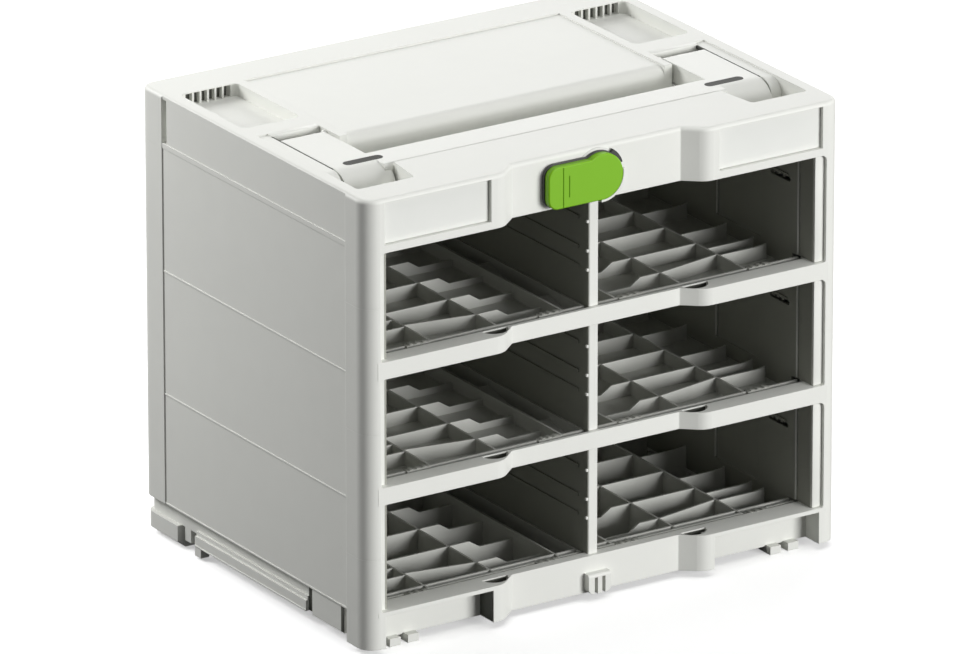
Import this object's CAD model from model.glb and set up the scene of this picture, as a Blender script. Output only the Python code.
import math

import bmesh
import bpy
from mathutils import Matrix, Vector


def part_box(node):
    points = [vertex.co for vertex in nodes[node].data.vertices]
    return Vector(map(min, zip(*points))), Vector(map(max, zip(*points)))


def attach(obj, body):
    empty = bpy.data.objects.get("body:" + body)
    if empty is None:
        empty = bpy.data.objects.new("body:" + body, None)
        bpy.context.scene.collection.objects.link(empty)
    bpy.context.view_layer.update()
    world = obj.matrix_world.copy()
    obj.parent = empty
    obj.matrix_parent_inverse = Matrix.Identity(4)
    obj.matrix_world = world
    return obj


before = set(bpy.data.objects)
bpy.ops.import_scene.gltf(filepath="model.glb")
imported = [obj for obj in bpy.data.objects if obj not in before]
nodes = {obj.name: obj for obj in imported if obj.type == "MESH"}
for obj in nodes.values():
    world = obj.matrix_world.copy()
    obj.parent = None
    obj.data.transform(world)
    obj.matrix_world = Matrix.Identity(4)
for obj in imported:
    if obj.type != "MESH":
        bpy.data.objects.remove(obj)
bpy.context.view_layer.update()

# Camera: the photographer stands far off to the left and looks down on the rack with a long lens.
# The photograph keeps upright edges parallel, so the lens here is a little longer than its own.
camera_place = Vector((-4.456, -6.8645, 3.221))
camera_target = Vector((0.0, 0.0, 0.160))
camera_lens = 454.0
bpy.ops.object.camera_add(location=camera_place)
camera = bpy.context.object
camera.name = "camera"
camera.data.lens = camera_lens
camera.data.sensor_width = 36.0
camera.data.clip_end = 60.0
camera.rotation_euler = (camera_target - camera_place).to_track_quat("-Z", "Y").to_euler()
bpy.context.scene.camera = camera

# Studio: a white floor that bounces little light, a dim surround and four soft boxes: overhead, in
# front on the right, close behind on the left, and a weak one behind on the right.
surround_strength = 0.115
world = bpy.data.worlds.new("studio")
world.use_nodes = True
bpy.context.scene.world = world
surround = world.node_tree.nodes["Background"]
surround.inputs["Color"].default_value = (1.0, 1.0, 1.0, 1.0)
surround.inputs["Strength"].default_value = surround_strength
backdrop = world.node_tree.nodes.new("ShaderNodeBackground")
backdrop.inputs["Color"].default_value = (1.0, 1.0, 1.0, 1.0)
backdrop.inputs["Strength"].default_value = 1.0
ray = world.node_tree.nodes.new("ShaderNodeLightPath")
choose = world.node_tree.nodes.new("ShaderNodeMixShader")
links = world.node_tree.links
links.new(ray.outputs["Is Camera Ray"], choose.inputs["Fac"])
links.new(surround.outputs["Background"], choose.inputs[1])
links.new(backdrop.outputs["Background"], choose.inputs[2])
links.new(choose.outputs["Shader"], world.node_tree.nodes["World Output"].inputs["Surface"])

lit_point = Vector((0.0, 0.0, 0.15))
for name, place, size, power in (("top_light", (0.3, -0.5, 3.2), 2.4, 36.0),
                                 ("front_light", (1.8, -4.2, 0.8), 2.0, 202.0),
                                 ("left_light", (-0.88, 0.92, 0.88), 0.6, 15.5),
                                 ("rear_light", (3.0, 3.4, 1.4), 2.0, 60.0)):
    bpy.ops.object.light_add(type="AREA", location=place)
    lamp = bpy.context.object
    lamp.name = name
    lamp.data.energy = power
    lamp.data.size = size
    lamp.visible_camera = False
    lamp.rotation_euler = (lit_point - lamp.location).to_track_quat("-Z", "Y").to_euler()

floor_size = 16.0
floor_bounce, floor_white, floor_glow = 0.15, 0.96, 0.42
bpy.ops.mesh.primitive_plane_add(size=floor_size, location=(0.0, 0.0, 0.0))
floor = bpy.context.object
floor.name = "floor"
floor_paint = bpy.data.materials.new("floor_paint")
floor_paint.use_nodes = True
paint = floor_paint.node_tree.nodes["Principled BSDF"]
paint.inputs["Roughness"].default_value = 1.0
paint.inputs["Specular IOR Level"].default_value = 0.0
floor_ray = floor_paint.node_tree.nodes.new("ShaderNodeLightPath")
whiten = floor_paint.node_tree.nodes.new("ShaderNodeMix")
whiten.data_type = "RGBA"
whiten.inputs["A"].default_value = (floor_bounce, floor_bounce, floor_bounce, 1.0)
whiten.inputs["B"].default_value = (floor_white, floor_white, floor_white, 1.0)
floor_paint.node_tree.links.new(floor_ray.outputs["Is Camera Ray"], whiten.inputs["Factor"])
floor_paint.node_tree.links.new(whiten.outputs["Result"], paint.inputs["Base Color"])
floor_paint.node_tree.links.new(floor_ray.outputs["Is Camera Ray"], paint.inputs["Emission Strength"])
paint.inputs["Emission Color"].default_value = (floor_glow, floor_glow, floor_glow, 1.0)
floor.data.materials.append(floor_paint)

# Base: a shallow box with recessed side walls, docking rails, clips and feet, moulded in pale grey
# polypropylene with a fine eroded grain. The storeys seat on its lip.


class Shade:
    """An output of a material's nodes that is used in sums as a number is; each sum adds its node."""

    def __init__(self, tree, socket=None):
        self.tree = tree
        self.socket = socket

    def node(self, kind, settings=None, sockets=None, output=0):
        """One node: its settings are made first, then its sockets take values or links."""
        made = self.tree.nodes.new(kind)
        for name, value in (settings or {}).items():
            setattr(made, name, value)
        for name, value in (sockets or {}).items():
            if isinstance(value, Shade):
                self.tree.links.new(value.socket, made.inputs[name])
            else:
                made.inputs[name].default_value = value
        return Shade(self.tree, made.outputs[output])

    def maths(self, operation, first, second=0.0):
        return self.node("ShaderNodeMath", {"operation": operation}, {0: first, 1: second})

    def __add__(self, other):
        return self.maths("ADD", self, other)

    def __mul__(self, other):
        return self.maths("MULTIPLY", self, other)

    __radd__ = __add__
    __rmul__ = __mul__


def moulded_plastic(name, colour, roughness, grain=0.25, edge_radius=0.0005, edge_light=0.04):
    """Injection-moulded plastic: a fine eroded grain, faint flow clouds and soft, paler arrises."""
    material = bpy.data.materials.new(name)
    material.use_nodes = True
    tree = material.node_tree
    shader = tree.nodes["Principled BSDF"]
    start = Shade(tree)
    place = start.node("ShaderNodeTexCoord", output="Object")
    rounded = start.node("ShaderNodeBevel", {"samples": 6}, {"Radius": edge_radius})
    true = start.node("ShaderNodeNewGeometry", output="Normal")
    lean = start.node("ShaderNodeVectorMath", {"operation": "DOT_PRODUCT"}, {0: rounded, 1: true},
                      output="Value")
    arris = start.node("ShaderNodeMapRange", {}, {"Value": lean, "From Min": 0.995, "From Max": 0.75})
    clouds = start.node("ShaderNodeTexNoise", {}, {"Vector": place, "Scale": cloud_scale, "Detail": 3.0})
    flow = start.node("ShaderNodeTexNoise", {}, {"Vector": place, "Scale": flow_scale, "Detail": 2.0})
    speckle = start.node("ShaderNodeTexNoise", {}, {"Vector": place, "Scale": speckle_scale, "Detail": 2.0})
    tone = 0.955 + clouds * 0.05 + flow * 0.03 + speckle * 0.02
    tone = tone * (1.0 + arris * edge_light)
    body = start.node("ShaderNodeVectorMath", {"operation": "SCALE"}, {0: colour, "Scale": tone})
    tree.links.new(body.socket, shader.inputs["Base Color"])
    sheen = roughness - 0.04 + flow * 0.05 + speckle * 0.04
    tree.links.new(sheen.socket, shader.inputs["Roughness"])
    bump = start.node("ShaderNodeBump", {}, {"Strength": grain, "Distance": grain_height, "Height": speckle,
                                             "Normal": rounded})
    tree.links.new(bump.socket, shader.inputs["Normal"])
    shader.inputs["Specular IOR Level"].default_value = 0.4
    return material


def finish(material, *names):
    """Give each of these nodes this material."""
    for name in names:
        piece = nodes[name]
        piece.data.materials.clear()
        piece.data.materials.append(material)


cloud_scale, flow_scale, speckle_scale = 9.0, 60.0, 1500.0
grain_height = 0.00008
storeys = ("lower", "middle", "upper")
hands = ("left", "right")
sides = {"left": -1, "right": 1}
pale_plastic = moulded_plastic("pale_grey_plastic", (0.80, 0.807, 0.765), 0.50)
finish(pale_plastic, "front_frame_base", "base_tray", "front_catch")
finish(pale_plastic, *[f"{piece}_{hand}" for piece in ("docking_rail", "rear_foot", "front_feet")
                       for hand in hands])

# Recess plates: dark liners pressed into the side returns of the base's two bumps and into the front
# catch's slots, and dark strips at the bottom of the gaps in the base's sides. They are thin, dished
# plates of filled plastic, held by their edges.


def block(name, low, high):
    """A block between two corners, alone selected, with its place in its mesh."""
    bpy.ops.object.select_all(action="DESELECT")
    low, high = Vector(low), Vector(high)
    bpy.ops.mesh.primitive_cube_add(size=1.0, location=(low + high) / 2, scale=high - low)
    piece = bpy.context.object
    piece.name = name
    bpy.ops.object.transform_apply(location=True, rotation=True, scale=True)
    return piece


def pick(piece, kind, wanted):
    """In edit mode, select only the faces or edges of the piece that the test wants."""
    bpy.ops.mesh.select_mode(type=kind)
    bpy.ops.mesh.select_all(action="DESELECT")
    mesh = bmesh.from_edit_mesh(piece.data)
    mesh.normal_update()
    for part in list(mesh.faces if kind == "FACE" else mesh.edges):
        if wanted(part):
            part.select_set(True)
    bmesh.update_edit_mesh(piece.data)


def facing(direction):
    """A test for faces whose normal points in this direction."""
    return lambda face: face.normal.dot(Vector(direction)) > 0.9


def running(direction):
    """A test for edges that run in this direction."""
    along = Vector(direction)
    return lambda edge: abs((edge.verts[0].co - edge.verts[1].co).normalized().dot(along)) > 0.99


def dish(piece, direction, margin, sink):
    """Sink the face that points this way inside a margin."""
    bpy.ops.object.mode_set(mode="EDIT")
    pick(piece, "FACE", facing(direction))
    bpy.ops.mesh.inset(thickness=margin, depth=0.0)
    bpy.ops.transform.translate(value=Vector(direction) * -sink)
    bpy.ops.object.mode_set(mode="OBJECT")


def fit(piece, body, material, rounding):
    """Round a finished piece's edges and give it its body, slot and material."""
    soft = piece.modifiers.new("rounding", "BEVEL")
    soft.width = rounding
    soft.segments = 2
    soft.limit_method = "ANGLE"
    bpy.ops.object.modifier_apply(modifier=soft.name)
    bpy.ops.object.shade_smooth_by_angle(angle=math.radians(40))
    piece.data.materials.append(material)
    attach(piece, body)


dark_plastic = moulded_plastic("dark_insert_plastic", (0.085, 0.088, 0.075), 0.50, edge_light=0.4)
frame_low, frame_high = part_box("front_frame_base")
rail_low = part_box("docking_rail_left")[0]
plate_thickness, plate_rim, plate_sink, plate_rounding = 0.0005, 0.0009, 0.00025, 0.0001
bump_return = 0.0930
plate_front, plate_rear = frame_low.y + 0.0010, frame_low.y + 0.0168
plate_bottom, plate_top = 0.0058, 0.0286
gap_bottom, gap_top, gap_rim, thin_rounding = 0.0095, 0.0286, 0.0008, 0.00005
side_gaps = {"pillar": (frame_high.x - 0.0014, 0.0002, frame_low.y + 0.0312, frame_low.y + 0.0352),
             "rail": (frame_high.x - 0.0044, 0.0006, frame_low.y + 0.0733, rail_low.y - 0.0002)}
for hand, side in sides.items():
    near, far = sorted((side * bump_return, side * (bump_return + plate_thickness)))
    plate = block(f"bump_recess_plate_{hand}", (near, plate_front, plate_bottom),
                  (far, plate_rear, plate_top))
    dish(plate, (side, 0, 0), plate_rim, plate_sink)
    fit(plate, "root", dark_plastic, plate_rounding)
    for gap, (face, thickness, front, rear) in side_gaps.items():
        near, far = sorted((side * face, side * (face + thickness)))
        strip = block(f"{gap}_gap_strip_{hand}", (near, front, gap_bottom), (far, rear, gap_top))
        dish(strip, (side, 0, 0), gap_rim, thickness / 2)
        fit(strip, "root", dark_plastic, thin_rounding)

catch_low, catch_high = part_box("front_catch")
catch_slot_inner, catch_slot_outer = 0.0019, 0.0044
slot_plate_rear, slot_plate_thickness = catch_high.y - 0.0010, 0.0003
slot_plate_bottom, slot_plate_top = catch_low.z + 0.0002, catch_high.z - 0.0028
slot_plate_rim, slot_plate_sink = 0.0004, 0.00015
for hand, side in sides.items():
    near, far = sorted((side * catch_slot_inner, side * catch_slot_outer))
    plate = block(f"catch_slot_plate_{hand}",
                  (near, slot_plate_rear - slot_plate_thickness, slot_plate_bottom),
                  (far, slot_plate_rear, slot_plate_top))
    dish(plate, (0, -1, 0), slot_plate_rim, slot_plate_sink)
    fit(plate, "root", dark_plastic, thin_rounding)

# Shell: front frames, side and back walls and rear posts in three storeys, of the base's plastic.
# They stack on seams half way up each bay. Dark liners back the crescent pockets in the rails.
finish(pale_plastic, "front_frame_lower", "front_frame_upper")
finish(pale_plastic, *[f"back_panel_{storey}" for storey in storeys])
finish(pale_plastic, *[f"side_panel_{hand}_{storey}" for hand in hands for storey in storeys])
finish(pale_plastic, *[f"rear_post_{hand}" for hand in hands])
pocket_inner, pocket_outer = 0.0738, 0.0932
pocket_rear, liner_thickness = frame_low.y + 0.0138, 0.0004
pocket_depth, pocket_edge = 0.0080, 0.0009
liner_rim, liner_sink = 0.0006, 0.0002
floors = {storey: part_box(f"divider_post_{storey}")[0].z for storey in storeys}
for storey, floor_z in floors.items():
    for hand, side in sides.items():
        near, far = sorted((side * pocket_inner, side * pocket_outer))
        liner = block(f"rail_pocket_liner_{hand}_{storey}",
                      (near, pocket_rear - liner_thickness, floor_z - pocket_depth),
                      (far, pocket_rear, floor_z - pocket_edge))
        dish(liner, (0, -1, 0), liner_rim, liner_sink)
        fit(liner, "root", dark_plastic, plate_rounding)

# Edge strips: one pale flat bar of the shell's plastic stands on the right pillar's return beside
# each bay. It is clipped in from the front, and its face is raised inside a narrow rim.
return_inner, return_outer = 0.1779, 0.1854
return_face, strip_stand = frame_low.y + 0.0056, 0.0026
bay_clear, strip_gap = 0.0800, 0.0002
strip_rim, strip_rise, strip_rounding = 0.0006, 0.0002, 0.0002
for storey, floor_z in floors.items():
    edge_strip = block(f"bay_edge_strip_{storey}",
                       (return_inner, return_face - strip_stand, floor_z + strip_gap),
                       (return_outer, return_face, floor_z + bay_clear - strip_gap))
    dish(edge_strip, (0, -1, 0), strip_rim, -strip_rise)
    fit(edge_strip, "root", pale_plastic, strip_rounding)

# Bay linings: dark grey inner walls and ceiling, moulded with the same grain. Pale beads run up the
# wall's two steps, and a toothed clip sits over each catch slot.


def comb(piece, low, high, axis, count, direction, reach):
    """Cut a bar into equal lengths along an axis and draw every second one out."""
    span = (high - low)[axis]
    normal = [0.0, 0.0, 0.0]
    normal[axis] = 1.0
    bpy.ops.object.mode_set(mode="EDIT")
    for cut in range(1, count):
        place = Vector(low)
        place[axis] = low[axis] + span * cut / count
        bpy.ops.mesh.select_all(action="SELECT")
        bpy.ops.mesh.bisect(plane_co=place, plane_no=normal)
    pick(piece, "FACE", lambda face: face.normal.dot(Vector(direction)) > 0.9
         and int((face.calc_center_median()[axis] - low[axis]) / span * count) % 2 == 1)
    bpy.ops.mesh.extrude_faces_move(TRANSFORM_OT_shrink_fatten={"value": reach})
    bpy.ops.object.mode_set(mode="OBJECT")


lining_plastic = moulded_plastic("lining_plastic", (0.36, 0.365, 0.32), 0.50, edge_light=0.3)
finish(lining_plastic, "ceiling_panel")
finish(lining_plastic, *[f"bay_liner_{hand}_{storey}" for hand in hands for storey in storeys])
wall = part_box("bay_liner_right_upper")[0].x
bead_proud, bead_sunk, bead_depth = 0.0007, 0.0005, 0.0009
bead_bottom, bead_gap, bead_rounding = 0.0010, 0.0005, 0.0002
bead_places = (frame_low.y + 0.0214, frame_low.y + 0.1231)
clip_front, clip_length = frame_low.y + 0.0345, 0.0210
clip_rise, clip_height, clip_proud = 0.0557, 0.0018, 0.0010
clip_lengths, clip_tooth, clip_rounding = 7, 0.0014, 0.0001
for storey, floor_z in floors.items():
    for hand, side in sides.items():
        for number, front in enumerate(bead_places):
            near, far = sorted((side * (wall - bead_proud), side * (wall + bead_sunk)))
            bead = block(f"wall_bead_{hand}_{storey}_{number + 1}", (near, front, floor_z + bead_bottom),
                         (far, front + bead_depth, floor_z + bay_clear - bead_gap))
            bpy.ops.object.mode_set(mode="EDIT")
            pick(bead, "EDGE", running((0, 0, 1)))
            bpy.ops.mesh.bevel(offset=bead_rounding, segments=3)
            bpy.ops.object.mode_set(mode="OBJECT")
            fit(bead, "root", pale_plastic, thin_rounding)
        near, far = sorted((side * (wall - clip_proud), side * wall))
        low = Vector((near, clip_front, floor_z + clip_rise))
        high = Vector((far, clip_front + clip_length, floor_z + clip_rise + clip_height))
        clip = block(f"catch_clip_{hand}_{storey}", low, high)
        comb(clip, low, high, 1, clip_lengths, (0, 0, -1), clip_tooth)
        fit(clip, "root", lining_plastic, clip_rounding)

# Dividers: dark double walls behind a pale upright post. The dark skin wraps the post's left side,
# and the pale ends of the guide ribs stand in it.
divider_plastic = moulded_plastic("divider_plastic", (0.30, 0.305, 0.265), 0.50, edge_light=0.15)
finish(divider_plastic, *[f"bay_divider_{storey}" for storey in storeys])
finish(pale_plastic, *[f"divider_post_{storey}" for storey in storeys])
guide_rises = (0.0272, 0.0414, 0.0631)
wrap_thickness, wrap_front, wrap_gap = 0.0004, 0.0007, 0.0002
wrap_rim, wrap_sink, wrap_rounding = 0.0006, 0.0001, 0.0001
peg_reach, peg_depth, peg_height, peg_front = 0.0015, 0.0020, 0.0022, 0.0002
peg_rim, peg_rise, peg_rounding = 0.0004, 0.0004, 0.00025
for storey in storeys:
    post_low, post_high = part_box(f"divider_post_{storey}")
    wrap = block(f"divider_wrap_{storey}",
                 (post_low.x - wrap_thickness, post_low.y + wrap_front, post_low.z + wrap_gap),
                 (post_low.x, post_high.y, post_high.z - wrap_gap))
    dish(wrap, (-1, 0, 0), wrap_rim, wrap_sink)
    fit(wrap, "root", divider_plastic, wrap_rounding)
    for number, rise in enumerate(guide_rises):
        middle = post_low.z + rise
        peg = block(f"guide_peg_{storey}_{number + 1}",
                    (post_low.x - peg_reach, post_low.y + peg_front, middle - peg_height / 2),
                    (post_low.x, post_low.y + peg_front + peg_depth, middle + peg_height / 2))
        dish(peg, (-1, 0, 0), peg_rim, -peg_rise)
        fit(peg, "root", pale_plastic, peg_rounding)

# Grid trays: mid grey floors of thin ribs, each moulded in one piece and dropped into its bay. Two
# darker ribbed clips straddle the front beam of each one.
tray_plastic = moulded_plastic("tray_plastic", (0.56, 0.565, 0.53), 0.50, edge_radius=0.0003,
                               edge_light=0.35)
finish(tray_plastic, *[f"bay_tray_{hand}_{storey}" for hand in hands for storey in storeys])
clip_plastic = moulded_plastic("clip_plastic", (0.40, 0.405, 0.37), 0.50, edge_light=0.1)
clip_starts = (0.0241, 0.1333)
tray_clip_length, tray_clip_depth = 0.0190, 0.0052
tray_clip_front = frame_low.y + 0.0192
tray_clip_bottom, tray_clip_top = -0.0012, -0.0003
tray_clip_lengths, tray_clip_tooth, tray_clip_rounding = 7, 0.0005, 0.00015
for storey, floor_z in floors.items():
    for hand, side in sides.items():
        for number, start in enumerate(clip_starts):
            near, far = sorted((side * start, side * (start + tray_clip_length)))
            low = Vector((near, tray_clip_front, floor_z + tray_clip_bottom))
            high = Vector((far, tray_clip_front + tray_clip_depth, floor_z + tray_clip_top))
            clip = block(f"tray_clip_{hand}_{storey}_{number + 1}", low, high)
            comb(clip, low, high, 0, tray_clip_lengths, (0, 0, 1), tray_clip_tooth)
            fit(clip, "root", clip_plastic, tray_clip_rounding)

# Lid: header, deck and pockets in one moulding of the base's plastic. End blocks close the arm
# recesses at the rear, dark gaskets line their outer gaps, and a nub stands by each hinge.
finish(pale_plastic, "top_cover")
lid_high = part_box("top_cover")[1]
handle_low, handle_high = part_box("carry_handle")
gasket_plastic = moulded_plastic("gasket_rubber", (0.055, 0.056, 0.05), 0.65, grain=0.15)
recess_inner, recess_outer = lid_high.x - 0.0594, lid_high.x - 0.0196
recess_rear, recess_bottom = handle_high.y + 0.00952, lid_high.z - 0.0158
end_block_depth, end_block_drop, end_block_rounding = 0.0046, 0.00002, 0.0006
gasket_inner, gasket_outer = handle_high.x + 0.0002, handle_high.x + 0.0014
gasket_top, gasket_height, gasket_rounding = handle_high.z - 0.0001, 0.0024, 0.0001
gasket_steps, gasket_turn = 12, math.radians(80)
nose_turn = Vector((0.0, handle_low.y + 0.0210, handle_high.z - 0.0210))
nub_radius, nub_inner, nub_outer = 0.0031, recess_inner + 0.0006, recess_inner + 0.0028
nub_back, nub_drop = handle_high.y - 0.0034, handle_high.z - 0.0029
nub_rim, nub_rise, nub_rounding = 0.0010, 0.0002, 0.0003
for hand, side in sides.items():
    near, far = sorted((side * recess_inner, side * recess_outer))
    stop = block(f"arm_recess_end_{hand}", (near, recess_rear - end_block_depth, recess_bottom),
                 (far, recess_rear, lid_high.z - end_block_drop))
    bpy.ops.object.mode_set(mode="EDIT")
    pick(stop, "EDGE", lambda edge: running((1, 0, 0))(edge)
         and (edge.verts[0].co - Vector((0, recess_rear - end_block_depth, lid_high.z))).yz.length < 0.0005)
    bpy.ops.mesh.bevel(offset=end_block_rounding, segments=3)
    bpy.ops.object.mode_set(mode="OBJECT")
    fit(stop, "root", pale_plastic, thin_rounding)
    near, far = sorted((side * gasket_inner, side * gasket_outer))
    gasket = block(f"arm_gasket_{hand}", (near, nose_turn.y, gasket_top - gasket_height),
                   (far, recess_rear - end_block_depth, gasket_top))
    bpy.ops.object.mode_set(mode="EDIT")
    pick(gasket, "FACE", facing((0, -1, 0)))
    bpy.ops.mesh.spin(steps=gasket_steps, angle=gasket_turn, axis=(1, 0, 0),
                      center=((near + far) / 2, nose_turn.y, nose_turn.z))
    bpy.ops.mesh.select_all(action="SELECT")
    bpy.ops.mesh.remove_doubles(threshold=0.00001)
    bpy.ops.mesh.normals_make_consistent(inside=False)
    bpy.ops.object.mode_set(mode="OBJECT")
    fit(gasket, "root", gasket_plastic, gasket_rounding)
    bpy.ops.object.select_all(action="DESELECT")
    bpy.ops.mesh.primitive_cylinder_add(vertices=32, radius=nub_radius, depth=nub_outer - nub_inner,
                                        location=(side * (nub_inner + nub_outer) / 2, nub_back, nub_drop),
                                        rotation=(0, math.radians(90), 0))
    nub = bpy.context.object
    nub.name = f"hinge_nub_{hand}"
    bpy.ops.object.transform_apply(location=True, rotation=True, scale=True)
    dish(nub, (-side, 0, 0), nub_rim, -nub_rise)
    fit(nub, "root", pale_plastic, nub_rounding)

# Rear pocket liners: dark thin plates behind the ribs of the two rear stacking pockets. They are
# pressed against each pocket's rear wall, and their faces are dished inside a narrow rim.
liner_inner, liner_outer = lid_high.x - 0.0520, lid_high.x - 0.0170
liner_rear = lid_high.y - 0.0320
liner_bottom, liner_top = lid_high.z - 0.0092, lid_high.z - 0.0011
rear_liner_rim = 0.0005
for hand, side in sides.items():
    near, far = sorted((side * liner_inner, side * liner_outer))
    liner = block(f"rear_pocket_liner_{hand}", (near, liner_rear - liner_thickness, liner_bottom),
                  (far, liner_rear, liner_top))
    dish(liner, (0, -1, 0), rear_liner_rim, liner_sink)
    fit(liner, "root", dark_plastic, plate_rounding)

# Label panels: plain flat inserts of the same plastic, a little smoother than the shell's. They are
# pressed into the header's two front recesses.
label_plastic = moulded_plastic("label_plastic", (0.79, 0.80, 0.765), 0.44)
finish(label_plastic, "label_plate_left", "label_plate_right")

# Carry handle: one hollow moulding that folds into the lid on two plain pins. A dark strip with
# round ends is let into the top of each arm.
handle_plastic = moulded_plastic("handle_plastic", (0.80, 0.807, 0.765), 0.46, edge_radius=0.0008)
finish(handle_plastic, "carry_handle")
pin_plastic = moulded_plastic("pin_plastic", (0.66, 0.66, 0.64), 0.40)
finish(pin_plastic, "handle_pin_left", "handle_pin_right")
strip_inner, strip_outer = lid_high.x - 0.0633, lid_high.x - 0.0317
strip_middle, strip_width = handle_low.y + 0.0246, 0.0076
strip_depth, strip_proud = 0.0008, 0.0001
strip_round_share, strip_dish_rim, strip_sink = 0.49, 0.0005, 0.00004
for hand, side in sides.items():
    near, far = sorted((side * strip_inner, side * strip_outer))
    strip = block(f"arm_strip_{hand}", (near, strip_middle - strip_width / 2, handle_high.z - strip_depth),
                  (far, strip_middle + strip_width / 2, handle_high.z + strip_proud))
    bpy.ops.object.mode_set(mode="EDIT")
    pick(strip, "EDGE", running((0, 0, 1)))
    bpy.ops.mesh.bevel(offset=strip_width * strip_round_share, segments=8)
    bpy.ops.object.mode_set(mode="OBJECT")
    dish(strip, (0, 0, 1), strip_dish_rim, strip_sink)
    fit(strip, "handle", gasket_plastic, thin_rounding)

# Latch: a bright green turning knob over a black cam, on a pale pin, all hard moulded plastic. A
# pale wear ring is pressed round the lower right of the knob's disc and turns with it.
latch_plastic = moulded_plastic("latch_plastic", (0.205, 0.485, 0.006), 0.42, grain=0.15)
finish(latch_plastic, "latch_lever")
cam_plastic = moulded_plastic("cam_plastic", (0.05, 0.05, 0.05), 0.45)
finish(cam_plastic, "latch_cam")
finish(pin_plastic, "latch_pin")
lever_low, lever_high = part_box("latch_lever")
knob_radius = lever_high.x
knob_middle = Vector((0.0, 0.0, lever_low.z + knob_radius))
ring_start, ring_turn = math.radians(-94), math.radians(104)
ring_front, ring_rear, ring_width = lever_low.y + 0.0001, lever_low.y + 0.0040, 0.0016
ring_overlap, ring_start_thickness, ring_steps, ring_rounding = 0.00005, 0.00001, 48, 0.0002
ring = block("knob_ring", (-ring_start_thickness, ring_front, knob_middle.z + knob_radius - ring_overlap),
             (0.0, ring_rear, knob_middle.z + knob_radius + ring_width))
bpy.ops.object.mode_set(mode="EDIT")
bpy.ops.mesh.select_all(action="SELECT")
bpy.ops.transform.rotate(value=-(math.radians(90) - ring_start), orient_axis="Y", center_override=knob_middle)
pick(ring, "FACE", lambda face: face.normal.y ** 2 < 0.1 and face.calc_area() > 0.000003
     and face.normal.dot((face.calc_center_median() - knob_middle).cross(Vector((0, 1, 0)))) < 0)
bpy.ops.mesh.spin(steps=ring_steps, angle=ring_turn, center=knob_middle, axis=(0, 1, 0))
bpy.ops.mesh.select_all(action="SELECT")
bpy.ops.mesh.remove_doubles(threshold=0.00002)
bpy.ops.mesh.normals_make_consistent(inside=False)
bpy.ops.object.mode_set(mode="OBJECT")
fit(ring, "latch", pale_plastic, ring_rounding)

# Hand-over: the picture keeps plain colours, and the CAD's box and the dressed rack's box are written
# down side by side.
bpy.context.scene.view_settings.view_transform = "Standard"
